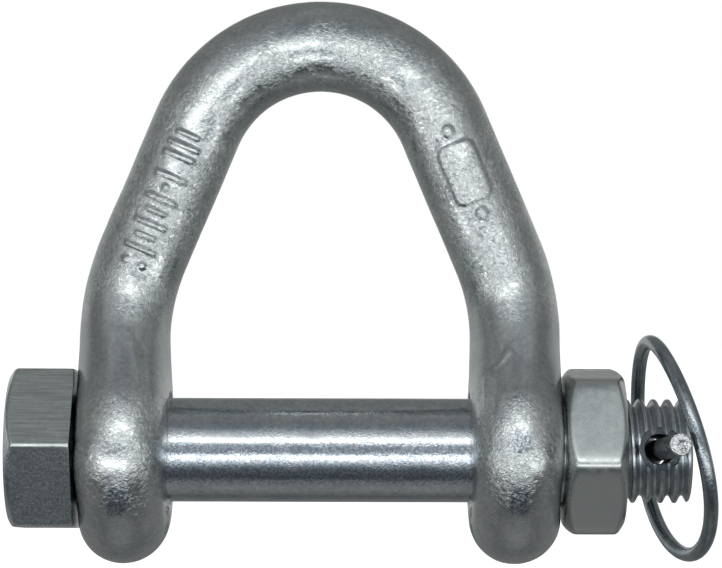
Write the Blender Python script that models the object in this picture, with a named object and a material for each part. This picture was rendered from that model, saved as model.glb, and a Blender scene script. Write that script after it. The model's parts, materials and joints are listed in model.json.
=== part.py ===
"""Dee shackle with a safety bolt, a thin nut and a linch pin.

Metres, +Z up. The origin is on the bolt's axis, midway between the ears. The bolt lies along X with
its head at -X, the bow stands up along +Z, and the linch pin's tip points to -Y.
"""

import math

import bmesh
import bpy
from mathutils import Matrix, Vector

MM = 0.001

# Forged bow: a round bar bent to a dee, with a disc-shaped ear at each end
BAR_RADIUS = 8.3 * MM
CROWN_RADIUS = 24.6 * MM
CROWN_CENTRE_Z = 49.35 * MM
LEG_LEAN = math.radians(22.95)
SHOULDER_RADIUS = 40.8 * MM
EAR_CENTRE_X = 35.7 * MM
EAR_RADIUS = 20.85 * MM
EAR_HALF_THICKNESS = 8.4 * MM
EAR_SWELL_TOP = 20.6 * MM
NECK_ROUNDING = 0.5
NECK_ROUND_FROM_Z = 2.0 * MM
NECK_ROUND_TO_Z = 14.0 * MM
NECK_TOP_RADIUS = 15.2 * MM
NECK_TOP_ANGLE = math.radians(19)
NECK_EAR_ANGLE = math.radians(35.5)
EAR_HOLE_RADIUS = 9.95 * MM
EAR_HOLE_EDGE = 0.7 * MM
BOW_SIDES = 32
EAR_TURN_STEPS = 14

# Safety bolt
SHANK_RADIUS = 9.525 * MM
HEAD_OUTER_X = -56.45 * MM
HEAD_INNER_X = -44.4 * MM
ACROSS_FLATS = 28.575 * MM
CHAMFER_START = 0.95
CHAMFER_ANGLE = math.radians(30)
BOLT_END_X = 67.45 * MM
BOLT_END_CHAMFER = 0.45 * MM
BOLT_TURN = math.radians(-6.0)

# Thread, ten turns to the inch
THREAD_PITCH = 25.4 * MM / 10
THREAD_DEPTH = 1.42 * MM
THREAD_START_X = 42.8 * MM
THREAD_CREST_RADIUS = 9.5 * MM
THREAD_SIDES = 28
CREST_PART = 0.17
FLANK_PART = 0.33
RUNOUT_TURNS = 1.0

# Cross hole for the linch pin
CROSS_HOLE_X = 61.6 * MM
CROSS_HOLE_RADIUS = 2.66 * MM
SPOT_FACE_RADIUS = 3.85 * MM
SPOT_FACE_INNER = 7.65 * MM
SPOT_FACE_OUTER = 8.1 * MM
SPOT_WALL_SLOPE = 0.2

# Thin nut
NUT_INNER_X = 44.5 * MM
NUT_OUTER_X = 55.45 * MM
NUT_BORE_RADIUS = 9.8 * MM
NUT_BORE_CHAMFER = 0.8 * MM
NUT_TURN = math.radians(6.0)

# Linch pin, leaning in its hole
PIN_LEAN = math.radians(4.0)
PIN_RADIUS = 1.98 * MM
PIN_TIP_RADIUS = 1.98 * MM
PIN_TIP = 25.9 * MM
PIN_TIP_LAND = 1.4 * MM
PIN_TIP_CHAMFER = 0.35 * MM
PIN_HEAD_RADIUS = 3.25 * MM
PIN_HEAD_START = 9.95 * MM
PIN_HEAD_END = 19.2 * MM
PIN_HEAD_EDGE = 0.9 * MM
PIN_HINGE = 15.45 * MM
HINGE_HOLE_RADIUS = 1.62 * MM

# Spring ring
WIRE_RADIUS = 1.36 * MM
RING_RADIUS = 19.62 * MM
RING_TILT = math.radians(-11.1)
RING_TURN = math.radians(5.7)
RING_TWIST = 0.8 * MM
RING_END_GAP = 0.5 * MM
RING_PIVOT_LENGTH = 3.9 * MM
RING_POINTS = 64

SHARP_ANGLE = math.radians(32)


def clear_scene():
    for obj in list(bpy.data.objects):
        bpy.data.objects.remove(obj, do_unlink=True)


def make_material(name, colour, roughness, metallic):
    mat = bpy.data.materials.new(name)
    mat.use_nodes = True
    shader = mat.node_tree.nodes["Principled BSDF"]
    shader.inputs["Base Color"].default_value = (*colour, 1.0)
    shader.inputs["Roughness"].default_value = roughness
    shader.inputs["Metallic"].default_value = metallic
    mat.diffuse_color = (*colour, 1.0)
    return mat


def finish_object(name, bm, mat=None):
    """Turn a bmesh into a smooth-shaded object whose faces point out."""
    bmesh.ops.recalc_face_normals(bm, faces=bm.faces)
    mesh = bpy.data.meshes.new(name)
    bm.to_mesh(mesh)
    bm.free()
    mesh.shade_smooth()
    mesh.set_sharp_from_angle(angle=SHARP_ANGLE)
    if mat:
        mesh.materials.append(mat)
    obj = bpy.data.objects.new(name, mesh)
    bpy.context.scene.collection.objects.link(obj)
    return obj


def as_tool(obj):
    obj.hide_render = True
    obj.display_type = "WIRE"
    return obj


def combine(target, tool, operation):
    """Add an exact Boolean of the tool to the target."""
    step = target.modifiers.new(f"{operation.lower()} {tool.name}", "BOOLEAN")
    step.operation = operation
    step.solver = "EXACT"
    step.object = as_tool(tool)


def turned(name, profile, segments, mat=None):
    """Spin (x, radius) points round the X axis into a closed body."""
    bm = bmesh.new()
    verts = [bm.verts.new((x, radius, 0.0)) for x, radius in profile]
    closed = profile[0][1] > 0 and profile[-1][1] > 0
    pairs = list(zip(verts, verts[1:]))
    if closed:
        pairs.append((verts[-1], verts[0]))
    edges = [bm.edges.new(pair) for pair in pairs]
    bmesh.ops.spin(
        bm,
        geom=verts + edges,
        axis=(1, 0, 0),
        cent=(0, 0, 0),
        angle=2 * math.pi,
        steps=segments,
        use_merge=True,
    )
    bmesh.ops.remove_doubles(bm, verts=bm.verts, dist=1e-7)
    return finish_object(name, bm, mat)


# ---------------------------------------------------------------- bow


def half_centreline():
    """Points (x, z, lean of the outward normal) from the top of the crown to the bolt's axis."""
    crown_steps, leg_steps, shoulder_steps, ear_steps = 12, 5, 5, 9
    sweep = math.pi / 2 - LEG_LEAN
    points = []
    for i in range(crown_steps + 1):
        angle = math.pi / 2 - sweep * i / crown_steps
        x = CROWN_RADIUS * math.cos(angle)
        z = CROWN_CENTRE_Z + CROWN_RADIUS * math.sin(angle)
        points.append((x, z, math.pi / 2 - angle))
    x0, z0, _ = points[-1]
    # the straight leg ends where the shoulder's arc begins
    to_corner = (EAR_CENTRE_X - x0) / math.sin(LEG_LEAN)
    tangent = SHOULDER_RADIUS * math.tan(LEG_LEAN / 2)
    leg = to_corner - tangent
    for i in range(1, leg_steps + 1):
        s = leg * i / leg_steps
        x = x0 + s * math.sin(LEG_LEAN)
        z = z0 - s * math.cos(LEG_LEAN)
        points.append((x, z, math.pi / 2 - LEG_LEAN))
    shoulder_z = z0 - to_corner * math.cos(LEG_LEAN) - tangent
    for i in range(1, shoulder_steps + 1):
        angle = LEG_LEAN * (1 - i / shoulder_steps)
        x = EAR_CENTRE_X - SHOULDER_RADIUS * (1 - math.cos(angle))
        z = shoulder_z + SHOULDER_RADIUS * math.sin(angle)
        points.append((x, z, math.pi / 2 - angle))
    for i in range(1, ear_steps + 1):
        points.append((EAR_CENTRE_X, shoulder_z * (1 - i / ear_steps), math.pi / 2))
    return points


def neck_arc(y, z, radius, angle, height):
    """Half-width and sine of the slope at a height on a hollow arc that starts at (y, z)."""
    sine = math.sin(angle) - (height - z) / radius
    cosine = math.sqrt(1 - min(sine**2, 1.0))
    return y - radius * (cosine - math.cos(angle)), sine


def ear_half_width(z):
    """Half the forging's width along Y at a height: the ear's circle, a long and a short arc, the bar."""
    ear_y = EAR_RADIUS * math.cos(NECK_EAR_ANGLE)
    ear_z = EAR_RADIUS * math.sin(NECK_EAR_ANGLE)
    if z <= ear_z:
        return math.sqrt(EAR_RADIUS**2 - z**2)
    top_y = BAR_RADIUS + NECK_TOP_RADIUS * (1 - math.cos(NECK_TOP_ANGLE))
    long_radius = (ear_y - top_y) / (math.cos(NECK_TOP_ANGLE) - math.cos(NECK_EAR_ANGLE))
    width, sine = neck_arc(ear_y, ear_z, long_radius, NECK_EAR_ANGLE, z)
    if sine >= math.sin(NECK_TOP_ANGLE):
        return width
    top_z = ear_z + long_radius * (math.sin(NECK_EAR_ANGLE) - math.sin(NECK_TOP_ANGLE))
    width, sine = neck_arc(top_y, top_z, NECK_TOP_RADIUS, NECK_TOP_ANGLE, z)
    return width if sine > 0 else BAR_RADIUS


def smooth_ramp(start, end, value):
    part = max(0.0, min(1.0, (value - start) / (end - start)))
    return part * part * (3 - 2 * part)


def bar_radius(z):
    """Half the bar's thickness, which swells a little down to the ears."""
    return BAR_RADIUS + (EAR_HALF_THICKNESS - BAR_RADIUS) * smooth_ramp(EAR_SWELL_TOP, 0.0, z)


def rounded_bar(radius, half_width, z):
    """Evenly spaced points (across, y) round a bar with rounded sides, from its middle.

    The sides are half circles at the ear and longer half ellipses up the neck.
    """
    cap = radius * (1 + NECK_ROUNDING * smooth_ramp(NECK_ROUND_FROM_Z, NECK_ROUND_TO_Z, z))
    cap = min(cap, max(half_width, radius))
    flat = max(half_width - cap, 0.0)
    mean = (radius + cap) / 2
    arc = math.pi * mean
    around = 2 * arc + 4 * flat
    points = []
    for i in range(BOW_SIDES):
        s = around * i / BOW_SIDES
        side = 1.0
        if s > around / 2:
            s -= around / 2
            side = -1.0
        if s <= flat:
            across, y = radius, s
        elif s >= flat + arc:
            across, y = -radius, 2 * flat + arc - s
        else:
            angle = (s - flat) / mean
            across = radius * math.cos(angle)
            y = flat + cap * math.sin(angle)
        points.append((side * across, side * y))
    return points


def bow_sections():
    """Rings of points along the whole bar, from the left ear over the crown to the right ear."""
    half = half_centreline()
    left = [(-x, z, math.pi - turn) for x, z, turn in reversed(half[1:])]
    right = [(x, z, turn) for x, z, turn in half]
    sections = []
    for x, z, turn in left + right:
        # turn is the angle from +Z to the outward normal measured towards +X
        if x < 0:
            normal = Vector((-math.sin(math.pi - turn), 0.0, math.cos(math.pi - turn)))
        else:
            normal = Vector((math.sin(turn), 0.0, math.cos(turn)))
        radius = bar_radius(z)
        width = max(ear_half_width(z), radius) if z < CROWN_CENTRE_Z else radius
        centre = Vector((x, 0.0, z))
        ring = [
            centre + normal * across + Vector((0.0, y, 0.0))
            for across, y in rounded_bar(radius, width, z)
        ]
        sections.append(ring)
    return sections


def ear_underside(bm, ring_verts):
    """Turn the front half of an ear's level section down round the bolt's axis to its back half."""
    half = BOW_SIDES // 2
    front = ring_verts[: half + 1]
    rows = [front]
    for step in range(1, EAR_TURN_STEPS):
        turn = Matrix.Rotation(-math.pi * step / EAR_TURN_STEPS, 3, "X")
        row = []
        for k, vert in enumerate(front):
            if k in (0, half):
                row.append(vert)
            else:
                row.append(bm.verts.new(turn @ vert.co))
        rows.append(row)
    back = [ring_verts[0]]
    back += [ring_verts[(BOW_SIDES - k) % BOW_SIDES] for k in range(1, half)]
    back.append(ring_verts[half])
    rows.append(back)
    for row, after in zip(rows, rows[1:]):
        for k in range(half):
            corners = []
            for vert in (row[k], row[k + 1], after[k + 1], after[k]):
                if vert not in corners:
                    corners.append(vert)
            bm.faces.new(corners)


def make_bow(mat):
    bm = bmesh.new()
    rings = [[bm.verts.new(p) for p in ring] for ring in bow_sections()]
    for ring, after in zip(rings, rings[1:]):
        for k in range(BOW_SIDES):
            n = (k + 1) % BOW_SIDES
            bm.faces.new((ring[k], ring[n], after[n], after[k]))
    ear_underside(bm, rings[0])
    ear_underside(bm, rings[-1])
    bow = finish_object("bow", bm, mat)
    for side, name in ((-1, "left_ear_hole"), (1, "right_ear_hole")):
        combine(bow, ear_hole_tool(name, side), "DIFFERENCE")
    return bow


def ear_hole_tool(name, side):
    """A cylinder through one ear, flared where it meets both faces."""
    inner = EAR_CENTRE_X - EAR_HALF_THICKNESS
    outer = EAR_CENTRE_X + EAR_HALF_THICKNESS
    past = 2 * EAR_HOLE_EDGE
    profile = [
        (inner - past, 0.0),
        (inner - past, EAR_HOLE_RADIUS + EAR_HOLE_EDGE + past),
        (inner + EAR_HOLE_EDGE, EAR_HOLE_RADIUS),
        (outer - EAR_HOLE_EDGE, EAR_HOLE_RADIUS),
        (outer + past, EAR_HOLE_RADIUS + EAR_HOLE_EDGE + past),
        (outer + past, 0.0),
    ]
    return turned(name, [(side * x, r) for x, r in profile], 40)


# ---------------------------------------------------------------- bolt and nut


def hexagon(name, x0, x1, mat=None):
    """A hexagonal prism along X with one corner pointing to -Y."""
    bm = bmesh.new()
    bmesh.ops.create_cone(
        bm,
        cap_ends=True,
        segments=6,
        radius1=ACROSS_FLATS / math.sqrt(3),
        radius2=ACROSS_FLATS / math.sqrt(3),
        depth=x1 - x0,
    )
    bmesh.ops.rotate(bm, verts=bm.verts, matrix=Matrix.Rotation(math.pi / 2, 3, "Y"))
    corner = min(bm.verts, key=lambda v: v.co.y)
    off = math.atan2(corner.co.z, -corner.co.y)
    bmesh.ops.rotate(bm, verts=bm.verts, matrix=Matrix.Rotation(off, 3, "X"))
    bmesh.ops.translate(bm, verts=bm.verts, vec=((x0 + x1) / 2, 0, 0))
    return finish_object(name, bm, mat)


def chamfer_tool(name, x0, x1, both_ends):
    """The turned shape that takes a hexagon's corners off at its outer end, or at both ends."""
    face_radius = CHAMFER_START * ACROSS_FLATS / 2
    full_radius = ACROSS_FLATS / math.sqrt(3) + 1 * MM
    back = (full_radius - face_radius) * math.tan(CHAMFER_ANGLE)
    profile = [(x0, 0.0), (x0, face_radius), (x0 + back, full_radius)]
    if both_ends:
        profile += [(x1 - back, full_radius), (x1, face_radius), (x1, 0.0)]
    else:
        profile += [(x1 + 1 * MM, full_radius), (x1 + 1 * MM, 0.0)]
    return turned(name, profile, 48)


def thread_rows():
    """Radius and offset in pitches of the four lines that one pitch of thread is drawn from."""
    root = THREAD_CREST_RADIUS - THREAD_DEPTH
    crest = THREAD_CREST_RADIUS
    return [
        (root, 0.0),
        (crest, FLANK_PART),
        (crest, FLANK_PART + CREST_PART),
        (root, 2 * FLANK_PART + CREST_PART),
    ]


def make_thread(name):
    """A right-hand threaded rod from the shank to the bolt's end, cut square at both ends."""
    lines = thread_rows()
    per_turn = len(lines)
    turns = math.ceil((BOLT_END_X - THREAD_START_X) / THREAD_PITCH) + 3
    x_first = THREAD_START_X - 1.5 * THREAD_PITCH
    runout_end = THREAD_START_X + RUNOUT_TURNS * THREAD_PITCH
    bm = bmesh.new()
    columns = []
    for i in range(THREAD_SIDES):
        angle = 2 * math.pi * i / THREAD_SIDES
        column = []
        for k in range((turns + 1) * per_turn + 1):
            radius, offset = lines[k % per_turn]
            x = x_first + THREAD_PITCH * (k // per_turn + offset + i / THREAD_SIDES)
            # the groove grows from nothing over the runout
            grown = 1 - (runout_end - x) / (runout_end - THREAD_START_X)
            grown = max(0.0, min(1.0, grown))
            radius = THREAD_CREST_RADIUS - (THREAD_CREST_RADIUS - radius) * grown
            column.append(
                bm.verts.new((x, radius * math.cos(angle), radius * math.sin(angle)))
            )
        columns.append(column)
    for i in range(THREAD_SIDES):
        wrap = i == THREAD_SIDES - 1
        after = columns[0][per_turn:] if wrap else columns[i + 1]
        for k in range(min(len(columns[i]), len(after)) - 1):
            bm.faces.new((columns[i][k], columns[i][k + 1], after[k + 1], after[k]))
    cut_square(bm, THREAD_START_X, -1)
    cut_square(bm, BOLT_END_X, 1)
    return finish_object(name, bm)


def cut_square(bm, x, side):
    """Cut everything past x off and close the cut with a flat face."""
    cut = bmesh.ops.bisect_plane(
        bm,
        geom=bm.verts[:] + bm.edges[:] + bm.faces[:],
        plane_co=(x, 0, 0),
        plane_no=(side, 0, 0),
        clear_outer=True,
    )
    rim = [e for e in cut["geom_cut"] if isinstance(e, bmesh.types.BMEdge)]
    bmesh.ops.contextual_create(bm, geom=rim)


def bolt_end_tool():
    """A ring with a slanted inside that chamfers the bolt's end."""
    x = BOLT_END_X
    c = BOLT_END_CHAMFER
    r = THREAD_CREST_RADIUS
    profile = [(x - 2 * c, r + c), (x + c, r - 2 * c), (x + c, r + c)]
    return turned("bolt_end_chamfer", profile, 48)


def cross_hole_tool():
    """The cross hole with a shallow countersink at each mouth, drawn along X and then turned to Y."""
    far = SHANK_RADIUS + 2 * MM
    wide = SPOT_FACE_RADIUS + SPOT_WALL_SLOPE * (far - SPOT_FACE_OUTER)
    profile = [
        (-far, 0.0),
        (-far, wide),
        (-SPOT_FACE_OUTER, SPOT_FACE_RADIUS),
        (-SPOT_FACE_INNER, CROSS_HOLE_RADIUS),
        (SPOT_FACE_INNER, CROSS_HOLE_RADIUS),
        (SPOT_FACE_OUTER, SPOT_FACE_RADIUS),
        (far, wide),
        (far, 0.0),
    ]
    tool = turned("cross_hole", profile, 32)
    tool.rotation_euler.z = math.pi / 2
    tool.location.x = CROSS_HOLE_X
    return tool


def make_bolt(mat):
    bolt = hexagon("bolt", HEAD_OUTER_X, HEAD_INNER_X, mat)
    combine(bolt, chamfer_tool("head_dress", HEAD_OUTER_X, HEAD_INNER_X, False), "INTERSECT")
    shank = [
        (HEAD_INNER_X - 1 * MM, 0.0),
        (HEAD_INNER_X - 1 * MM, SHANK_RADIUS),
        (THREAD_START_X + 0.5 * MM, SHANK_RADIUS),
        (THREAD_START_X + 0.5 * MM, 0.0),
    ]
    combine(bolt, turned("shank", shank, 48), "UNION")
    combine(bolt, make_thread("thread"), "UNION")
    combine(bolt, bolt_end_tool(), "DIFFERENCE")
    combine(bolt, cross_hole_tool(), "DIFFERENCE")
    for tool in [m.object for m in bolt.modifiers]:
        tool.parent = bolt
    bolt.rotation_euler.x = BOLT_TURN
    return bolt


def make_nut(mat):
    nut = hexagon("nut", NUT_INNER_X, NUT_OUTER_X, mat)
    combine(nut, chamfer_tool("nut_dress", NUT_INNER_X, NUT_OUTER_X, True), "INTERSECT")
    past = 2 * NUT_BORE_CHAMFER
    bore = [
        (NUT_INNER_X - past, 0.0),
        (NUT_INNER_X - past, NUT_BORE_RADIUS + NUT_BORE_CHAMFER + past),
        (NUT_INNER_X + NUT_BORE_CHAMFER, NUT_BORE_RADIUS),
        (NUT_OUTER_X - NUT_BORE_CHAMFER, NUT_BORE_RADIUS),
        (NUT_OUTER_X + past, NUT_BORE_RADIUS + NUT_BORE_CHAMFER + past),
        (NUT_OUTER_X + past, 0.0),
    ]
    combine(nut, turned("nut_bore", bore, 40), "DIFFERENCE")
    for tool in [m.object for m in nut.modifiers]:
        tool.parent = nut
    nut.rotation_euler.x = NUT_TURN
    return nut


# ---------------------------------------------------------------- linch pin and ring


def make_linch_pin(mat, bolt):
    """The pin is turned along X, laid along Y, and leans in the bolt's cross hole."""
    edge = PIN_HEAD_EDGE
    profile = [
        (-PIN_TIP, 0.0),
        (-PIN_TIP, PIN_TIP_RADIUS - PIN_TIP_CHAMFER),
        (-PIN_TIP + PIN_TIP_CHAMFER, PIN_TIP_RADIUS),
        (-PIN_TIP + PIN_TIP_LAND, PIN_TIP_RADIUS),
        (-PIN_TIP + 2 * PIN_TIP_LAND, PIN_RADIUS),
        (PIN_HEAD_START, PIN_RADIUS),
        (PIN_HEAD_START, PIN_HEAD_RADIUS - edge),
        (PIN_HEAD_START + 0.3 * edge, PIN_HEAD_RADIUS - 0.3 * edge),
        (PIN_HEAD_START + edge, PIN_HEAD_RADIUS),
        (PIN_HEAD_END - edge, PIN_HEAD_RADIUS),
        (PIN_HEAD_END - 0.3 * edge, PIN_HEAD_RADIUS - 0.3 * edge),
        (PIN_HEAD_END, PIN_HEAD_RADIUS - edge),
        (PIN_HEAD_END, 0.0),
    ]
    pin = turned("linch_pin", profile, 28, mat)
    pin.data.transform(Matrix.Rotation(math.pi / 2, 4, "Z"))
    far = 2 * PIN_HEAD_RADIUS
    hole = [(-far, 0.0), (-far, HINGE_HOLE_RADIUS), (far, HINGE_HOLE_RADIUS), (far, 0.0)]
    tool = turned("hinge_hole", hole, 20)
    tool.data.transform(Matrix.Rotation(math.pi / 2, 4, "Y"))
    combine(pin, tool, "DIFFERENCE")
    tool.parent = pin
    tool.location.y = PIN_HINGE
    tool.rotation_euler.y = RING_TILT
    pin.parent = bolt
    pin.location.x = CROSS_HOLE_X
    pin.rotation_euler.z = PIN_LEAN
    return pin


def ring_point(turn):
    """A point of the wire's centreline, in the ring's own frame with the hinge along Z."""
    flat = RING_RADIUS - math.sqrt(RING_RADIUS**2 - RING_PIVOT_LENGTH**2)
    soft = 0.12 * MM
    q = RING_RADIUS * (1 - math.cos(turn)) - flat
    y = -(math.sqrt(q * q + soft * soft) + q) / 2
    z = RING_RADIUS * math.sin(turn)
    away = (abs(z) - RING_PIVOT_LENGTH) / RING_PIVOT_LENGTH
    away = 1.0 if math.cos(turn) < 0 else max(0.0, min(1.0, away))
    x = RING_TWIST * math.sin(2 * turn) * away * away * (3 - 2 * away)
    return (x, y, z)


def make_ring(mat, pin):
    """A wire ring, open inside the pin's head, whose two ends are its hinge."""
    start = RING_END_GAP / RING_RADIUS
    curve = bpy.data.curves.new("linch_ring", "CURVE")
    curve.dimensions = "3D"
    curve.bevel_depth = WIRE_RADIUS
    curve.bevel_resolution = 4
    curve.use_fill_caps = True
    curve.materials.append(mat)
    spline = curve.splines.new("POLY")
    spline.points.add(RING_POINTS - 1)
    for i, point in enumerate(spline.points):
        turn = start + (2 * math.pi - 2 * start) * i / (RING_POINTS - 1)
        point.co = (*ring_point(turn), 1.0)
    spline.use_smooth = True
    ring = bpy.data.objects.new("linch_ring", curve)
    bpy.context.scene.collection.objects.link(ring)
    ring.parent = pin
    ring.location.y = PIN_HINGE
    ring.rotation_mode = "ZYX"
    ring.rotation_euler = (0.0, RING_TILT, RING_TURN)
    return ring


def main():
    clear_scene()
    zinc = make_material("zinc_forging", (0.17, 0.18, 0.178), 0.34, 0.9)
    bright = make_material("plated_pin", (0.33, 0.345, 0.35), 0.25, 1.0)
    bolt_zinc = make_material("zinc_bolt", (0.16, 0.17, 0.168), 0.32, 0.9)
    nut_zinc = make_material("zinc_nut", (0.2, 0.21, 0.208), 0.36, 0.9)
    ring_zinc = make_material("plated_wire", (0.22, 0.235, 0.24), 0.22, 1.0)
    make_bow(zinc)
    bolt = make_bolt(bolt_zinc)
    make_nut(nut_zinc)
    pin = make_linch_pin(bright, bolt)
    make_ring(ring_zinc, pin)


main()
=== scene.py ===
"""Visual model of the dee shackle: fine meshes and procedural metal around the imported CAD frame."""

import json
import math

import bmesh
import bpy
import numpy as np
from mathutils import Matrix, Vector, noise


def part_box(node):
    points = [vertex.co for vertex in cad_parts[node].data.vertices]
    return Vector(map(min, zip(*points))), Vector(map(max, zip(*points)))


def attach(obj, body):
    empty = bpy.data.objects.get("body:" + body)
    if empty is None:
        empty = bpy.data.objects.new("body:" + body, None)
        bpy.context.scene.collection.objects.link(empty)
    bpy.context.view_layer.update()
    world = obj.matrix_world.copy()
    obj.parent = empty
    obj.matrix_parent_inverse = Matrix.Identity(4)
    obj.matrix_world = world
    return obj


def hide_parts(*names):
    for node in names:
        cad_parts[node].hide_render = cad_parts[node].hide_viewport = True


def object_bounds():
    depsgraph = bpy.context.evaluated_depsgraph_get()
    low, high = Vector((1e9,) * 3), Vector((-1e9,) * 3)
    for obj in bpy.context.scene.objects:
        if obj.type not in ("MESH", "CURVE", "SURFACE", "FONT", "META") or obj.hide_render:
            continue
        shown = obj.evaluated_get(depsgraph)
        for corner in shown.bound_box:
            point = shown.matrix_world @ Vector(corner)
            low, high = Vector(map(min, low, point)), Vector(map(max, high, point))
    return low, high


MM = 0.001
INCH = 0.0254


# ---------------------------------------------------------------- frame and its sizes

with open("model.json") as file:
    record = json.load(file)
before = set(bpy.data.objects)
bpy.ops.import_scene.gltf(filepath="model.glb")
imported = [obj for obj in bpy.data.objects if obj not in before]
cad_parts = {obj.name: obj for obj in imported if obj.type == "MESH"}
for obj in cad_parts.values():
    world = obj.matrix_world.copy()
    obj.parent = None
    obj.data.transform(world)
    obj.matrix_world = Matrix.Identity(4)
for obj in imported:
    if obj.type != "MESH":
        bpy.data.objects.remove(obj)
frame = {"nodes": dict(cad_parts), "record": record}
record = frame["record"]
joints = {j["name"]: j for j in record["behaviour"]["joints"]}
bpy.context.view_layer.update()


def node_points(node):
    """World coordinates of a CAD node's vertices."""
    obj = frame["nodes"][node]
    co = np.empty(3 * len(obj.data.vertices))
    obj.data.vertices.foreach_get("co", co)
    m = np.array(obj.matrix_world)
    return co.reshape(-1, 3) @ m[:3, :3].T + m[:3, 3]


BOW_LO, BOW_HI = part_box("bow")
BOLT_LO, BOLT_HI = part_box("bolt")
NUT_LO, NUT_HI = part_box("nut")
PIN_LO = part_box("linch_pin")[0]

# the bow: a round bar, two swelled ears and hollow necks between them
bow_points = node_points("bow")
upper = bow_points[bow_points[:, 2] > 0.5 * BOW_HI[2]]
BAR_R = float(np.abs(upper[:, 1]).max())
EAR_R = -BOW_LO[2]
EAR_HALF = BAR_R + 0.1 * MM
EAR_X = BOW_HI[0] - EAR_HALF
CROWN_R = 24.6 * MM
CROWN_Z = BOW_HI[2] - BAR_R - CROWN_R
LEG_LEAN = math.radians(22.95)
SHOULDER_R = 40.8 * MM
NECK_TOP_R = 15.2 * MM
NECK_TOP_ANGLE = math.radians(19)
NECK_EAR_ANGLE = math.radians(35.5)

# the bolt: a shank, a hexagon head and a coarse thread
bolt_points = node_points("bolt")
in_ear = bolt_points[np.abs(bolt_points[:, 0] - EAR_X) < 1.4 * BAR_R]
SHANK_R = float(np.hypot(in_ear[:, 1], in_ear[:, 2]).max())
HEAD_X0 = BOLT_LO[0]
head = bolt_points[bolt_points[:, 0] < -BOW_HI[0]]
HEAD_X1 = float(head[:, 0].max())
FLATS = 2 * float(np.hypot(head[:, 1], head[:, 2]).max()) * math.cos(math.radians(30))
BOLT_END = BOLT_HI[0]
PITCH = INCH / 10
THREAD_X = 38.87 * MM
FACE_R = 0.95 * FLATS / 2
CORNER_R = FLATS / math.sqrt(3)
THREAD_DEPTH = 1.4 * MM
CROSS_HOLE_R = 2.66 * MM

# the linch pin and its ring: the pin's axis meets the bolt's axis inside the cross hole
pull = Vector(joints["linch_pin_pull"]["axis"]).normalized()
hinge = joints["linch_ring_open"]
HINGE_POS = Vector(hinge["pos_m"])
HINGE_AXIS = Vector(hinge["axis"]).normalized()
BOLT_TURN = -math.atan2(-pull.z, math.hypot(pull.x, pull.y))
NUT_TURN = -BOLT_TURN
HOLE_X = HINGE_POS.x - pull.x * HINGE_POS.y / pull.y
HINGE_HOLE_R = 1.62 * MM
WIRE_R = 1.32 * MM
RING_R = 19.62 * MM
RING_PIVOT = 3.9 * MM
RING_TWIST = 0.8 * MM
RING_END_GAP = 0.5 * MM


# ---------------------------------------------------------------- mesh helpers


def make_object(name, verts, faces, body, smooth_angle):
    """A smooth-shaded object from computed points that rides a body, if one is given."""
    mesh = bpy.data.meshes.new(name)
    mesh.from_pydata([tuple(v) for v in verts], [], faces)
    mesh.update()
    return link_mesh(name, mesh, body, smooth_angle)


def link_mesh(name, mesh, body, smooth_angle):
    bm = bmesh.new()
    bm.from_mesh(mesh)
    bmesh.ops.remove_doubles(bm, verts=bm.verts, dist=1e-7)
    bmesh.ops.recalc_face_normals(bm, faces=bm.faces)
    bm.to_mesh(mesh)
    bm.free()
    mesh.shade_smooth()
    if smooth_angle:
        mesh.set_sharp_from_angle(angle=math.radians(smooth_angle))
    obj = bpy.data.objects.new(name, mesh)
    bpy.context.scene.collection.objects.link(obj)
    if body:
        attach(obj, body)
    return obj


def grid_faces(rows, cols):
    """Quads between rows of equal length, each of which is a closed ring."""
    faces = []
    for i in range(rows - 1):
        for k in range(cols):
            n = (k + 1) % cols
            faces.append((i * cols + k, i * cols + n, (i + 1) * cols + n, (i + 1) * cols + k))
    return faces


def lathe(profile, sides):
    """Vertices and faces of (x, r) points turned about X; both ends must be at r = 0."""
    angles = np.arange(sides) * 2 * math.pi / sides
    verts = []
    for x, r in profile:
        for a in angles:
            verts.append((x, max(r, 0.0) * math.cos(a), max(r, 0.0) * math.sin(a)))
    return verts, grid_faces(len(profile), sides)


def cut_away(obj, cutter):
    """Exact difference, applied, after which the cutter is removed."""
    mod = obj.modifiers.new("cut", "BOOLEAN")
    mod.operation = "DIFFERENCE"
    mod.solver = "EXACT"
    mod.object = cutter
    dg = bpy.context.evaluated_depsgraph_get()
    result = bpy.data.meshes.new_from_object(obj.evaluated_get(dg))
    obj.modifiers.remove(mod)
    obj.data = result
    bpy.data.objects.remove(cutter, do_unlink=True)


def resharpen(obj, angle):
    obj.data.shade_smooth()
    obj.data.set_sharp_from_angle(angle=math.radians(angle))


def softmin(values, k):
    """Smooth minimum of several arrays with a blend of about k."""
    values = [np.asarray(v, dtype=float) for v in values]
    low = np.minimum.reduce(values)
    total = sum(np.exp(-(v - low) / k) for v in values)
    return low - k * np.log(total)


def smoothstep(a, b, x):
    """0 at a, 1 at b and smooth between them, for a number or an array."""
    t = np.clip((np.asarray(x, dtype=float) - a) / (b - a), 0, 1)
    return t * t * (3 - 2 * t)


# ---------------------------------------------------------------- bow


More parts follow.
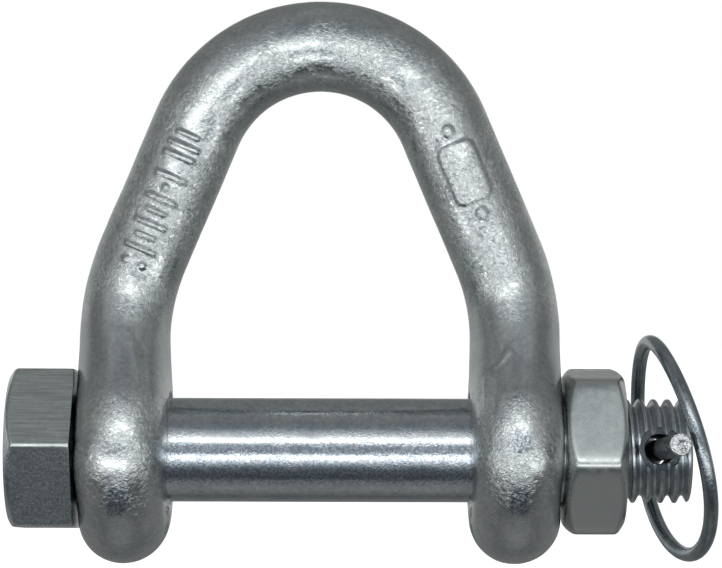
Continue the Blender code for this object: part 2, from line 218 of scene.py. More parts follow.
def half_path(step):
    """x, z and outward-normal angle from the crown's top down to the bolt axis."""
    pts = []
    sweep = math.pi / 2 - LEG_LEAN
    n = max(2, int(CROWN_R * sweep / step))
    for i in range(n + 1):
        a = sweep * i / n
        pts.append((CROWN_R * math.sin(a), CROWN_Z + CROWN_R * math.cos(a), a))
    x0, z0, _ = pts[-1]
    corner = (EAR_X - x0) / math.sin(LEG_LEAN)
    tangent = SHOULDER_R * math.tan(LEG_LEAN / 2)
    leg = corner - tangent
    n = int(leg / step)
    for i in range(1, n + 1):
        s = leg * i / n
        pts.append((x0 + s * math.sin(LEG_LEAN), z0 - s * math.cos(LEG_LEAN), sweep))
    shoulder_z = z0 - corner * math.cos(LEG_LEAN) - tangent
    n = int(SHOULDER_R * LEG_LEAN / step)
    for i in range(1, n + 1):
        a = LEG_LEAN * (1 - i / n)
        x = EAR_X - SHOULDER_R * (1 - math.cos(a))
        pts.append((x, shoulder_z + SHOULDER_R * math.sin(a), math.pi / 2 - a))
    n = int(shoulder_z / step)
    for i in range(1, n + 1):
        pts.append((EAR_X, shoulder_z * (1 - i / n), math.pi / 2))
    return np.array(pts)


def neck_arc(y, z, radius, angle, height):
    """Half-width and sine of the slope at a height on a hollow arc that starts at (y, z)."""
    sine = math.sin(angle) - (height - z) / radius
    cosine = math.sqrt(1 - min(sine**2, 1.0))
    return y - radius * (cosine - math.cos(angle)), sine


def ear_half_width(z):
    """The ear's circle, a long and a short hollow arc, then the bar."""
    ear_y = EAR_R * math.cos(NECK_EAR_ANGLE)
    ear_z = EAR_R * math.sin(NECK_EAR_ANGLE)
    if z <= ear_z:
        return math.sqrt(max(EAR_R**2 - z**2, 0.0))
    top_y = BAR_R + NECK_TOP_R * (1 - math.cos(NECK_TOP_ANGLE))
    long_r = (ear_y - top_y) / (math.cos(NECK_TOP_ANGLE) - math.cos(NECK_EAR_ANGLE))
    width, sine = neck_arc(ear_y, ear_z, long_r, NECK_EAR_ANGLE, z)
    if sine >= math.sin(NECK_TOP_ANGLE):
        return width
    top_z = ear_z + long_r * (math.sin(NECK_EAR_ANGLE) - math.sin(NECK_TOP_ANGLE))
    width, sine = neck_arc(top_y, top_z, NECK_TOP_R, NECK_TOP_ANGLE, z)
    return width if sine > 0 else BAR_R


def bar_thickness(z):
    """Half the bar's thickness, which swells a little down to the ears."""
    return BAR_R + (EAR_HALF - BAR_R) * float(smoothstep(0, 1, 1 - z / EAR_R))


def bar_section(radius, half_width, z, sides):
    """across, y, and the outline's normal (across, y), evenly spaced from the bar's middle.

    The sides are half circles at the ear and longer half ellipses up the neck.
    """
    cap = radius * (1 + 0.5 * float(smoothstep(2 * MM, 14 * MM, z)))
    cap = min(cap, max(half_width, radius))
    flat = max(half_width - cap, 0.0)
    mean = (radius + cap) / 2
    arc = math.pi * mean
    around = 2 * arc + 4 * flat
    out = []
    for i in range(sides):
        s = around * i / sides
        side = 1.0
        if s > around / 2 + 1e-12:
            s -= around / 2
            side = -1.0
        if s <= flat:
            p = (radius, s, 1.0, 0.0)
        elif s >= flat + arc:
            p = (-radius, 2 * flat + arc - s, -1.0, 0.0)
        else:
            a = (s - flat) / mean
            n = Vector((cap * math.cos(a), radius * math.sin(a))).normalized()
            p = (radius * math.cos(a), flat + cap * math.sin(a), n.x, n.y)
        out.append([side * v for v in p])
    return out


def ear_underside(verts, normals, faces, base, sides):
    """The level end section that starts at base, turned round the bolt's axis to close the ear."""
    turns = 90
    half = sides // 2
    ring = [verts[base + k] for k in range(sides)]
    index = {}
    for t in range(turns + 1):
        rot = Matrix.Rotation(-math.pi * t / turns, 3, "X")
        for k in range(half + 1):
            if k in (0, half) or t == 0:
                index[t, k] = base + k
            elif t == turns:
                index[t, k] = base + sides - k
            else:
                index[t, k] = len(verts)
                verts.append(rot @ ring[k])
                normals.append(rot @ normals[base + k])
    for t in range(turns):
        for k in range(half):
            corner = []
            for v in (index[t, k], index[t, k + 1], index[t + 1, k + 1], index[t + 1, k]):
                if v not in corner:
                    corner.append(v)
            if len(corner) > 2:
                faces.append(tuple(corner))


def build_bow():
    sides = 144
    step = 0.36 * MM
    half = half_path(step)
    left = half[1:][::-1].copy()
    left[:, 0] *= -1
    left[:, 2] *= -1
    path = np.vstack([left, half])
    verts, normals = [], []
    for x, z, a in path:
        normal = Vector((math.sin(a), 0.0, math.cos(a)))
        r = bar_thickness(z)
        w = max(ear_half_width(z), r) if z < CROWN_Z else r
        for across, y, na, ny in bar_section(r, w, z, sides):
            verts.append(Vector((x, 0, z)) + normal * across + Vector((0, y, 0)))
            normals.append(normal * na + Vector((0, ny, 0)))
    rows = len(path)
    faces = grid_faces(rows, sides)
    for base in (0, (rows - 1) * sides):
        ear_underside(verts, normals, faces, base, sides)
    verts = displace_bow(np.array([tuple(v) for v in verts]), np.array([tuple(n) for n in normals]))
    bow = make_object("forged_bow", verts, faces, "bow", None)
    for side in (-1, 1):
        cut_away(bow, ear_hole(side))
    resharpen(bow, 50)
    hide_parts("bow")
    return bow


def ear_hole(side):
    """A turned cutter with rounded flares at both faces of the ear."""
    hole_r = SHANK_R + 0.43 * MM
    edge = 0.85 * MM
    inner, outer = EAR_X - EAR_HALF, EAR_X + EAR_HALF
    wide_r, rim_r = hole_r + 2.2 * edge, hole_r + 1.05 * edge
    turns = np.linspace(0, math.pi / 2, 7)
    flare = [(edge * math.sin(a), hole_r + edge * (1 - math.sin(a))) for a in turns]
    profile = [(inner - 2 * edge, 0.0), (inner - 2 * edge, wide_r), (inner - 0.3 * edge, rim_r)]
    profile += [(inner + x, r) for x, r in flare]
    profile += [(outer - x, r) for x, r in reversed(flare)]
    profile += [(outer + 0.3 * edge, rim_r), (outer + 2 * edge, wide_r), (outer + 2 * edge, 0.0)]
    verts, faces = lathe([(side * x, r) for x, r in profile], 120)
    return make_object("ear_cutter", verts, faces, None, None)


def leg_coordinates(p, side):
    """Distance down the leg from the crown's end and distance across its front, for points."""
    x0 = CROWN_R * math.cos(LEG_LEAN)
    z0 = CROWN_Z + CROWN_R * math.sin(LEG_LEAN)
    dx = side * p[:, 0] - x0
    dz = p[:, 2] - z0
    along = dx * math.sin(LEG_LEAN) - dz * math.cos(LEG_LEAN)
    across = dx * math.cos(LEG_LEAN) + dz * math.sin(LEG_LEAN)
    return along, across


def bar_mark(u, v, cu, cv, length, width, angle=0.0):
    """Height 0..1 of a round-ended raised bar, centred at (cu, cv), all in metres."""
    c, s = math.cos(angle), math.sin(angle)
    du, dv = u - cu, v - cv
    a = du * c + dv * s
    b = -du * s + dv * c
    a = np.maximum(np.abs(a) - length / 2, 0)
    d = np.hypot(a, b)
    return 1 - smoothstep(width * 0.32, width * 0.74, d)


def pad_mark(u, v, cu, cv, half_u, half_v, round_r, edge):
    """Height 0..1 of a raised pad with rounded corners."""
    du = np.maximum(np.abs(u - cu) - half_u + round_r, 0)
    dv = np.maximum(np.abs(v - cv) - half_v + round_r, 0)
    return 1 - smoothstep(round_r - edge, round_r + edge, np.hypot(du, dv))


def forge_marks(p):
    """Raised plain bars and pips on the left leg and a plain pad between two pips on the right."""
    height = np.zeros(len(p))
    front = p[:, 1] < -0.25 * BAR_R
    u, v = leg_coordinates(p, -1)
    wide = 0.85 * MM
    # places down the leg in mm of the short and the long bars, which lie across it
    bars = [(at, 5.2) for at in (4.1, 6.2, 10.2, 14.6, 19.4, 24.2)]
    bars += [(2.0, 3.6), (17.0, 3.0), (21.8, 3.0)]
    for cu, length in bars:
        h = bar_mark(u, v, cu * MM, 0.4 * MM, length * MM, wide, math.pi / 2)
        height = np.maximum(height, h)
    for cu, cv in ((12.4, 0.4), (27.0, 2.0), (27.0, -1.2)):
        h = bar_mark(u, v, cu * MM, cv * MM, 0.0, 1.3 * MM)
        height = np.maximum(height, h)
    height = np.where(front & (p[:, 0] < 0), height, 0)
    u, v = leg_coordinates(p, 1)
    pad_u = 9.0 * MM
    other = 0.8 * pad_mark(u, v, pad_u, 0, 5.6 * MM, 3.4 * MM, 1.6 * MM, 0.35 * MM)
    for off in (-8.0, 8.0):
        other = np.maximum(other, bar_mark(u, v, pad_u + off * MM, 0, 0.3 * MM, 1.8 * MM))
    other = np.where(front & (p[:, 0] > 0), other, 0)
    return height + other


def fbm(p, scale, octaves=2, seed=0.0):
    """Layered gradient noise for an array of points, about -1..1, features of size scale."""
    out = np.empty(len(p))
    off = Vector((seed, seed * 1.7, -seed))
    for i, q in enumerate(p):
        v = Vector(q) / scale + off
        total = noise.noise(v)
        gain = 0.5
        for _ in range(octaves - 1):
            v = v * 2.03
            total += gain * noise.noise(v)
            gain *= 0.5
        out[i] = total
    return out


def ear_relief(p):
    """Height in mm of the coined outline over each ear and of the fall below its middle."""
    front = p[:, 1] < -0.3 * BAR_R
    z = p[:, 2] / MM
    off = np.abs(p[:, 0]) / MM
    # the coined outline curves in from the middle of the neck to the ear's inner edge
    right = p[:, 0] > 0
    inward = np.where(right, 4.0 * smoothstep(19, 13, z), 2.5 * smoothstep(22, 10, z))
    line = EAR_X / MM - 1.9 - inward
    ridge = 0.2 * (1 - smoothstep(0.1, 0.65, np.abs(off - line))) * smoothstep(6, 11, z)
    top = np.where(right, 18.5, 21.5)
    ridge = ridge * (1 - smoothstep(0, 1.6, z - top))
    fall = -0.42 * smoothstep(-0.5, -8, z) * (1 - smoothstep(-11, -19, z))
    return np.where(front, ridge + fall, 0)


def displace_bow(p, n):
    """Uneven forging, orange-peel and crinkled zinc, in mm of height, kept inside the CAD's box."""
    marks = 0.46 * forge_marks(p)
    # the crown is truer than the legs and ears
    below_crown = 1 - smoothstep(40 * MM, 60 * MM, p[:, 2])
    wave = fbm(p, 11 * MM, 1, 3.1) * (0.04 + 0.07 * below_crown)
    peel = fbm(p, 2.6 * MM, 2, 9.4) * 0.02
    fine = (0.5 - np.abs(fbm(p, 1.0 * MM, 2, 21.0))) * 0.02
    height = wave + peel + fine - 0.07 + marks + ear_relief(p)
    q = p + n * (height * MM)[:, None]
    return np.clip(q, np.array(BOW_LO), np.array(BOW_HI))


# ---------------------------------------------------------------- hexagons, bolt and nut


def hexagon_angles(turn):
    """Angles round X, close together near each corner, first corner at -Y turned by turn."""
    local = []
    for t in np.linspace(-1, 1, 41)[:-1]:
        local.append(math.radians(30) * math.copysign(abs(t) ** 1.7, t))
    angles = []
    for side in range(6):
        corner = math.pi + math.radians(60) * side
        angles += [corner + d for d in local]
    return np.array(angles) + turn, np.array(local * 6)


def hexagon_radius(local, flats, k):
    """Distance from the axis to the hexagon's side, with corners rounded by k."""
    a = flats / 2 / np.cos(math.radians(30) - local)
    b = flats / 2 / np.cos(math.radians(30) + local)
    return softmin([a, b], k)


def hexagon_rows(rows, flats, turn, edge, corner):
    """A hexagon limited by a turned profile, whose rows are (x, limit radius)."""
    angles, local = hexagon_angles(turn)
    hexa = hexagon_radius(local, flats, corner)
    verts = []
    for x, limit in rows:
        r = softmin([hexa, np.full(len(hexa), limit)], edge) if limit > 0 else np.zeros(len(hexa))
        for a, rr in zip(angles, r):
            verts.append((x, rr * math.cos(a), rr * math.sin(a)))
    return verts, len(angles)


def chamfered_end(x_face, inward, face_r, full_r, steps=34):
    """Rows from the centre of a flat end face out over a 30 degree chamfer."""
    rows = []
    for r in np.linspace(face_r - 0.5 * MM, face_r, 4):
        rows.append((x_face, r))
    for i in range(1, steps + 1):
        r = face_r + (full_r - face_r) * i / steps
        rows.append((x_face + inward * (r - face_r) * math.tan(math.radians(30)), r))
    return rows


def wobble(verts, amount, scale, seed):
    """Small uneven swelling of a surface along its radius and axis."""
    p = np.array([tuple(v) for v in verts])
    r = np.hypot(p[:, 1], p[:, 2])
    d = fbm(p, scale, 2, seed) * amount - 0.5 * amount
    k = np.where(r > 1e-6, (r + d) / np.maximum(r, 1e-6), 1)
    p[:, 1] *= k
    p[:, 2] *= k
    return p


def build_bolt():
    full_r = CORNER_R + 1.0 * MM
    rows = [(HEAD_X0, 0.0), (HEAD_X0, 0.3 * FACE_R), (HEAD_X0, 0.7 * FACE_R)]
    rows += chamfered_end(HEAD_X0, 1, FACE_R, full_r)
    back = rows[-1][0]
    for t in np.linspace(0, 1, 8)[1:-1]:
        rows.append((back + (HEAD_X1 - 0.5 * MM - back) * t, full_r))
    # the underside: a small rounded edge and a flat washer face
    under = CORNER_R + 0.2 * MM
    edge = 0.45 * MM
    for i in range(9):
        a = math.pi / 2 * i / 8
        rows.append((HEAD_X1 - edge + edge * math.sin(a), under - 2 * edge * (1 - math.cos(a))))
    rows += [(HEAD_X1, 0.97 * FLATS / 2), (HEAD_X1, 0.8 * FLATS / 2), (HEAD_X1, SHANK_R + 0.9 * MM)]
    fillet = 0.7 * MM
    for i in range(1, 6):
        a = math.pi / 2 * i / 5
        rows.append((HEAD_X1 + fillet * (1 - math.cos(a)), SHANK_R + fillet * (1 - math.sin(a))))
    shank_end = NUT_LO[0] + 4 * MM
    for x in np.linspace(HEAD_X1 + 1.2 * MM, shank_end, 60):
        rows.append((x, SHANK_R))
    rows.append((shank_end, 0.0))
    verts, cols = hexagon_rows(rows, FLATS, BOLT_TURN, 0.22 * MM, 0.16 * MM)
    verts = wobble(verts, 0.012 * MM, 7 * MM, 4.0)
    bolt = make_object("bolt_head_and_shank", verts, grid_faces(len(rows), cols), "bolt", 45)
    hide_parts("bolt")
    return bolt


def thread_profile(t):
    """Depth 0 (crest) to 1 (root) over one pitch, rounded at both."""
    root = abs((t % 1.0) * 2 - 1)
    return float(smoothstep(0.12, 0.95, root))


def thread_strips():
    """Points and quads of the helix: one strip along X for each step round the axis."""
    sides, per = 110, 16
    crest = SHANK_R + 0.02 * MM
    chamfer_x = BOLT_END - 0.5 * MM
    x_first = THREAD_X + 2 * PITCH
    turns = int((BOLT_END - x_first) / PITCH) + 3
    length = turns * per + 1
    verts = []
    for i in range(sides):
        a = 2 * math.pi * i / sides
        for k in range(length):
            x = x_first + PITCH * (k / per + i / sides)
            r = crest - THREAD_DEPTH * thread_profile(k / per)
            limit = crest - max(0.0, x - chamfer_x) * 0.9
            r = float(softmin([r, limit], 0.05 * MM))
            verts.append((x, r * math.cos(a), r * math.sin(a)))
    faces = []
    for i in range(sides):
        for k in range(length - 1):
            # the last strip joins the first one a pitch further on
            beside = (i + 1) * length + k if i < sides - 1 else k + per
            if i == sides - 1 and beside + 1 >= length:
                continue
            faces.append((i * length + k, i * length + k + 1, beside + 1, beside))
    return verts, faces


def build_thread():
    verts, faces = thread_strips()
    mesh = bpy.data.meshes.new("bolt_thread")
    mesh.from_pydata(verts, [], faces)
    bm = bmesh.new()
    bm.from_mesh(mesh)
    start = NUT_LO[0] + 3 * MM
    for x, side in ((start, -1), (BOLT_END, 1)):
        cut = bmesh.ops.bisect_plane(
            bm, geom=bm.verts[:] + bm.edges[:] + bm.faces[:], plane_co=(x, 0, 0),
            plane_no=(side, 0, 0), clear_outer=True,
        )
        rim = [e for e in cut["geom_cut"] if isinstance(e, bmesh.types.BMEdge)]
        bmesh.ops.contextual_create(bm, geom=rim)
    bm.to_mesh(mesh)
    bm.free()
    thread = link_mesh("bolt_thread", mesh, "bolt", None)
    thread.data.transform(Matrix.Rotation(BOLT_TURN, 4, "X"))
    cut_away(thread, cross_hole())
    resharpen(thread, 35)
    return thread


def cross_hole():
    """The cross hole and its countersinks, whose bottoms are shallow cones."""
    cone_r = 3.85 * MM
    deep, shallow = 7.65 * MM, 8.1 * MM
    far = SHANK_R + 2 * MM
    half = [
        (deep - 0.3 * MM, CROSS_HOLE_R), (deep, CROSS_HOLE_R + 0.2 * MM),
        (shallow - 0.05 * MM, cone_r - 0.15 * MM), (shallow + 0.15 * MM, cone_r + 0.05 * MM),
        (far, cone_r + 0.2 * (far - shallow)), (far, 0.0),
    ]
    profile = [(-x, r) for x, r in reversed(half)] + half
    verts, faces = lathe(profile, 72)
    cutter = make_object("hole_cutter", verts, faces, None, None)
    cutter.data.transform(Matrix.Rotation(math.pi / 2, 4, "Z"))
    cutter.data.transform(Matrix.Translation((HOLE_X, 0, 0)))
    cutter.data.transform(Matrix.Rotation(BOLT_TURN, 4, "X"))
    return cutter


def build_nut():
    full_r = CORNER_R + 1.0 * MM
    bore = SHANK_R + 0.27 * MM
    x0, x1 = NUT_LO[0], NUT_HI[0]
    outer = chamfered_end(x0, 1, FACE_R, full_r)
    outer += [(x, r) for x, r in reversed(chamfered_end(x1, -1, FACE_R, full_r))]
    # half the bore's countersink: distance in from the face, and radius
    sink = [(0.0, FACE_R - 2 * MM), (0.0, bore + 1.1 * MM), (0.3 * MM, bore + 0.8 * MM), (1.1 * MM, bore)]
    inner = [(x1 - depth, r) for depth, r in sink]
    inner += [(x, bore) for x in np.linspace(x1 - 2 * MM, x0 + 2 * MM, 8)]
    inner += [(x0 + depth, r) for depth, r in reversed(sink)]
    rows = outer + inner
    verts, cols = hexagon_rows(rows, FLATS, NUT_TURN, 0.4 * MM, 0.62 * MM)
    faces = grid_faces(len(rows), cols)
    last = (len(rows) - 1) * cols
    faces += [(last + k, last + (k + 1) % cols, (k + 1) % cols, k) for k in range(cols)]
    nut = make_object("thin_nut", verts, faces, "nut", 45)
    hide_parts("nut")
    return nut


# ---------------------------------------------------------------- linch pin and ring


def pin_matrix():
    """From X along the pin (tip at -X) to its place: origin on the bolt's axis."""
    x = pull.copy()
    z = HINGE_AXIS.copy()
    z = (z - x * z.dot(x)).normalized()
    y = z.cross(x)
    m = Matrix((x, y, z)).transposed().to_4x4()
    return Matrix.Translation((HOLE_X, 0, 0)) @ m


def quarter(x, r, size, start, side, steps=7):
    """Points of a quarter-round edge that meets radius r, from start to start + 90 degrees."""
    out = []
    for i in range(steps + 1):
        a = start + math.pi / 2 * i / steps
        out.append((x + side * size * (1 - math.sin(a)), r - size * (1 - math.cos(a))))
    return out


def pin_profile():
    """Outline of the linch pin measured from the frame: (x, r) from its tip to its head's end."""
    pts = node_points("linch_pin") - np.array((HOLE_X, 0, 0))
    along = pts @ np.array(pull)
    radius = np.sqrt(np.maximum((pts**2).sum(axis=1) - along**2, 0))
    tip, end = float(along.min()), float(along.max())
    head_r = float(radius[along > 0].max())
    tip_r = float(radius[along < 0.9 * tip].max())
    head_x = float(along[radius > 0.6 * head_r + 0.4 * tip_r].min())
    edge = 0.9 * MM
    profile = [(tip + 0.1 * MM, 0.0)]
    profile += [(tip + 0.06 * MM, r * tip_r) for r in np.linspace(0.15, 0.80, 9)]
    profile += reversed(quarter(tip, tip_r, 0.35 * MM, 0, 1))
    profile += [(x, tip_r) for x in np.linspace(tip + 1.4 * MM, head_x - 0.6 * MM, 26)]
    profile += [(head_x - 0.15 * MM, tip_r + 0.05 * MM), (head_x, tip_r + 0.2 * MM)]
    profile += reversed(quarter(head_x, head_r, edge, 0, 1))
    profile += [(x, head_r) for x in np.linspace(head_x + 1.6 * edge, end - 1.6 * edge, 8)]
    profile += quarter(end, head_r, edge, 0, -1)
    profile += [(end, 0.6 * head_r), (end, 0.3 * head_r), (end, 0.0)]
    return profile, tip


def build_pin():
    profile, tip = pin_profile()
    verts, faces = lathe(profile, 64)
    p = np.array(verts)
    # the tip was cropped in a shear, so its end is rough
    r = np.hypot(p[:, 1], p[:, 2])
    near = np.clip(1 - (p[:, 0] - tip) / (0.5 * MM), 0, 1) * np.clip(r / (0.3 * MM), 0, 1)
    p[:, 0] += near * (fbm(p, 1.0 * MM, 3, 2.2) * 0.2 + 0.16) * MM
    pin = make_object("linch_pin_body", p, faces, "linch_pin", None)
    pin.data.transform(pin_matrix())
    far = 9 * MM
    verts, faces = lathe([(-far, 0), (-far, HINGE_HOLE_R), (far, HINGE_HOLE_R), (far, 0)], 48)
    cutter = make_object("hinge_cutter", verts, faces, None, None)
    turn = Vector((1, 0, 0)).rotation_difference(HINGE_AXIS).to_matrix().to_4x4()
    cutter.data.transform(Matrix.Translation(HINGE_POS) @ turn)
    cut_away(pin, cutter)
    resharpen(pin, 45)
    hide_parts("linch_pin")
    return pin


def ring_line(w, n, count):
    """Centre line of the wire: a circle cut off flat along the hinge, twisted a little."""
    flat = RING_R - math.sqrt(RING_R**2 - RING_PIVOT**2)
    start = RING_END_GAP / RING_R
    soft = 0.12 * MM
    line = []
    for i in range(count):
        t = start + (2 * math.pi - 2 * start) * i / (count - 1)
        q = RING_R * (1 - math.cos(t)) - flat
        d = (math.sqrt(q * q + soft * soft) + q) / 2
        z = RING_R * math.sin(t)
        away = 1.0 if math.cos(t) < 0 else float(smoothstep(RING_PIVOT, 2 * RING_PIVOT, abs(z)))
        side = RING_TWIST * math.sin(2 * t) * away
        line.append(HINGE_POS + w * d + HINGE_AXIS * z - n * side)
    return line


def build_ring():
    # w points from the hinge across the ring and n is square to the ring
    w = Vector((node_points("linch_ring") - np.array(HINGE_POS)).mean(axis=0))
    w = (w - HINGE_AXIS * w.dot(HINGE_AXIS)).normalized()
    n = w.cross(HINGE_AXIS)
    if n.x > 0:
        n = -n
    count, sides = 260, 22
    line = ring_line(w, n, count)
    verts = []
    for i, p in enumerate(line):
        a = line[max(i - 1, 0)]
        b = line[min(i + 1, count - 1)]
        along = (b - a).normalized()
        one = n - along * n.dot(along)
        one.normalize()
        two = along.cross(one)
        for k in range(sides):
            s = 2 * math.pi * k / sides
            verts.append(p + (one * math.cos(s) + two * math.sin(s)) * WIRE_R)
    faces = grid_faces(count, sides)
    faces.append(tuple(range(sides)))
    faces.append(tuple((count - 1) * sides + k for k in range(sides)))
    ring = make_object("spring_ring", verts, faces, "linch_ring", 60)
    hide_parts("linch_ring")
    return ring


# ---------------------------------------------------------------- materials


# how much of the crinkled skin is left on the necks
SMOOTHEST = 0.15


class Nodes:
    """Lays out the nodes of one metal. Places and sizes are in mm of the object's own coordinates."""

    def __init__(self, name):
        self.mat = bpy.data.materials.new(name)
        self.mat.use_nodes = True
        self.tree = self.mat.node_tree
        self.bsdf = self.tree.nodes["Principled BSDF"]
        coord = self.add("ShaderNodeTexCoord")
        scale = self.add("ShaderNodeVectorMath", operation="SCALE")
        scale.inputs["Scale"].default_value = 1000
        self.link(coord.outputs["Object"], scale.inputs[0])
        self.mm = scale.outputs[0]

    def add(self, kind, **props):
        node = self.tree.nodes.new(kind)
        for key, value in props.items():
            setattr(node, key, value)
        return node

    def link(self, a, b):
        self.tree.links.new(a, b)

    def noise(self, size, detail, rough, distortion=0.0, vector=None):
        """Noise of about 0.3 to 0.7 with features of a size in mm."""
        node = self.add("ShaderNodeTexNoise")
        node.inputs["Scale"].default_value = 1 / size
        node.inputs["Detail"].default_value = detail
        node.inputs["Roughness"].default_value = rough
        node.inputs["Distortion"].default_value = distortion
        self.link(vector or self.mm, node.inputs["Vector"])
        return node.outputs["Fac"]

    def stretch(self, x, y, z):
        node = self.add("ShaderNodeVectorMath", operation="MULTIPLY")
        node.inputs[1].default_value = (x, y, z)
        self.link(self.mm, node.inputs[0])
        return node.outputs[0]

    def remap(self, value, a, b, c, d):
        """c where the value is a, d where it is b, clamped."""
        node = self.add("ShaderNodeMapRange")
        node.inputs["From Min"].default_value = a
        node.inputs["From Max"].default_value = b
        node.inputs["To Min"].default_value = c
        node.inputs["To Max"].default_value = d
        self.link(value, node.inputs["Value"])
        return node.outputs["Result"]

    def math(self, op, a, b=0.0):
        node = self.add("ShaderNodeMath", operation=op)
        for socket, value in zip(node.inputs, (a, b)):
            if hasattr(value, "is_output"):
                self.link(value, socket)
            else:
                socket.default_value = value
        return node.outputs[0]

    def product(self, a, *others):
        for other in others:
            a = self.math("MULTIPLY", a, other)
        return a

    def within(self, value, rise, fall):
        """1 between the two pairs of limits, fading to 0 across each pair."""
        return self.product(self.remap(value, *rise, 0, 1), self.remap(value, *fall, 1, 0))

    def distance(self, value, place):
        return self.math("ABSOLUTE", self.math("SUBTRACT", value, place))

    def mix(self, factor, a, b):
        """Colour a where the factor is 0 and b where it is 1."""
        node = self.add("ShaderNodeMix", data_type="RGBA")
        if hasattr(factor, "is_output"):
            self.link(factor, node.inputs["Factor"])
        else:
            node.inputs["Factor"].default_value = factor
        for socket, value in ((node.inputs[6], a), (node.inputs[7], b)):
            if hasattr(value, "is_output"):
                self.link(value, socket)
            else:
                socket.default_value = (*value, 1)
        return node.outputs[2]

    def position(self):
        split = self.add("ShaderNodeSeparateXYZ")
        self.link(self.mm, split.inputs[0])
        return split.outputs

    def tinted(self, colour, factor):
        """A colour multiplied by a grey factor."""
        node = self.add("ShaderNodeVectorMath", operation="SCALE")
        self.link(colour, node.inputs[0])
        self.link(factor, node.inputs["Scale"])
        return node.outputs[0]

    def specks(self, dark, light):
        """Bluish dark specks between light ones, a little under half a millimetre in size."""
        return self.mix(self.remap(self.noise(0.42, 2, 0.6, 0.3), 0.42, 0.58, 0, 1), dark, light)

    def bump(self, height, strength, distance, normal=None):
        node = self.add("ShaderNodeBump")
        node.inputs["Strength"].default_value = strength
        node.inputs["Distance"].default_value = distance
        self.link(height, node.inputs["Height"])
        if normal:
            self.link(normal, node.inputs["Normal"])
        return node.outputs["Normal"]


def away_from_neck(n):
    """1 on the crown, the legs and the middle of the ears, low on the smooth necks and undersides."""
    z = n.position()[2]
    legs = n.remap(z, 23, 29, 0, 1)
    ears = n.within(z, (-13, -8), (7, 15))
    return n.remap(n.math("MAXIMUM", legs, ears), 0, 1, SMOOTHEST, 1)


def painted_reflection_patches(n):
    """1 on the painted reflections: darker bluish patches down the front of each ear."""
    x, y, z = n.position()
    from_middle = n.distance(n.math("ABSOLUTE", x), EAR_X / MM)
    across = n.product(n.remap(from_middle, 1.0, 2.4, 1, 0), n.remap(y, -8, -6, 1, 0))
    low = n.within(z, (-12, -10), (-6.5, -4.5))
    right_ear = n.remap(x, -1, 1, 0, 1)
    high = n.product(n.within(z, (0.2, 1.4), (3.8, 5.4)), right_ear)
    ragged = n.remap(n.noise(1.6, 3, 0.6), 0.35, 0.65, 0.6, 1.4)
    patch = n.product(across, n.math("MAXIMUM", low, high), ragged)
    return n.remap(patch, 0.3, 0.8, 0, 1)


def bow_details(n, colour, rough, where):
    """Smooth duller necks and undersides with painted shade on the necks, and painted reflections as
    darker bluish patches on the ears.
    """
    rippled = away_from_neck(n)
    rough = n.math("ADD", rough, n.remap(rippled, SMOOTHEST, 1, 0.2, 0))
    # painted shade: the necks' colour is darkened
    neck = n.within(n.position()[2], (9, 16), (23, 29))
    colour = n.tinted(colour, n.remap(neck, 0, 1, 1, 0.78))
    # painted reflection: darker bluish specks down the front of each ear
    dark = painted_reflection_patches(n)
    colour = n.mix(n.product(dark, 0.8), colour, n.specks((0.20, 0.25, 0.31), (0.62, 0.66, 0.69)))
    return colour, rough, n.product(where, rippled, n.remap(dark, 0, 1, 1, 0.5))


def head_details(n, head, colour, rough, normal):
    """Machining lines on the head's upper flats and coarse light and dark grains on its lower ones, the
    flats told apart by their height at rest.
    """
    z = n.position()[2]
    lines = n.noise(0.35, 2, 0.6, 0.0, n.stretch(0.05, 1, 1))
    # upper and lower flats are told apart by height at rest, and their colours differ
    upper = n.remap(z, 0.4, 1.4, 0, 1)
    on_upper = n.product(head, upper)
    on_lower = n.product(head, n.math("SUBTRACT", 1.0, upper))
    grains = n.remap(n.noise(0.42, 3, 0.7, 0.3), 0.36, 0.64, 0, 1)
    grainy = n.mix(grains, (0.36, 0.41, 0.44), (0.95, 0.97, 0.95))
    colour = n.mix(n.product(on_lower, 0.8), colour, grainy)
    streaks = n.remap(lines, 0.35, 0.65, 0.84, 1.14)
    colour = n.mix(on_upper, colour, n.tinted(n.mix(0.7, colour, (0.66, 0.70, 0.67)), streaks))
    rough = n.math("ADD", rough, n.product(head, 0.16))
    normal = n.bump(n.product(lines, on_upper), 0.5, 0.03 * MM, normal)
    return colour, rough, normal


def shaded_hole_wall(n):
    """1 inside the bolt's cross hole, whose wall is given painted shade and more roughness."""
    x, y, z = n.position()
    hole_r = CROSS_HOLE_R / MM
    near = n.remap(n.distance(x, HOLE_X / MM), hole_r + 0.24, hole_r + 0.64, 1, 0)
    squares = n.math("ADD", n.product(y, y), n.product(z, z))
    return n.product(near, n.remap(n.math("SQRT", squares), 7.0, 7.8, 1, 0))


def bolt_details(n, colour, rough, normal):
    """The head's faces, a painted reflection as a dark mottled band along the shank's front, painted
    shade in the cross hole, and the thread.
    """
    x, y, z = n.position()
    outer, inner = HEAD_X0 / MM, HEAD_X1 / MM
    head = n.within(x, (outer + 0.7, outer + 1.1), (inner - 0.1, inner + 0.1))
    colour, rough, normal = head_details(n, head, colour, rough, normal)
    shank = n.product(n.remap(x, EAR_X / MM, EAR_X / MM + 1, 1, 0), n.math("SUBTRACT", 1.0, head))
    # painted reflection: a dark bluish speckled band along the shank's front
    band = n.product(shank, n.remap(y, -6, -4.5, 1, 0), n.within(z, (-6.4, -5.4), (1.2, 2.2)))
    colour = n.mix(n.product(band, 0.65), colour, n.specks((0.28, 0.34, 0.43), (0.74, 0.78, 0.82)))
    inside = shaded_hole_wall(n)
    # painted shade: the cross hole's wall is coloured near black
    colour = n.mix(inside, colour, (0.07, 0.075, 0.075))
    rough = n.math("ADD", rough, n.product(inside, 0.4))
    rough = n.math("ADD", rough, n.remap(x, THREAD_X / MM, THREAD_X / MM + 0.5, 0, 0.16))
    return colour, rough, normal


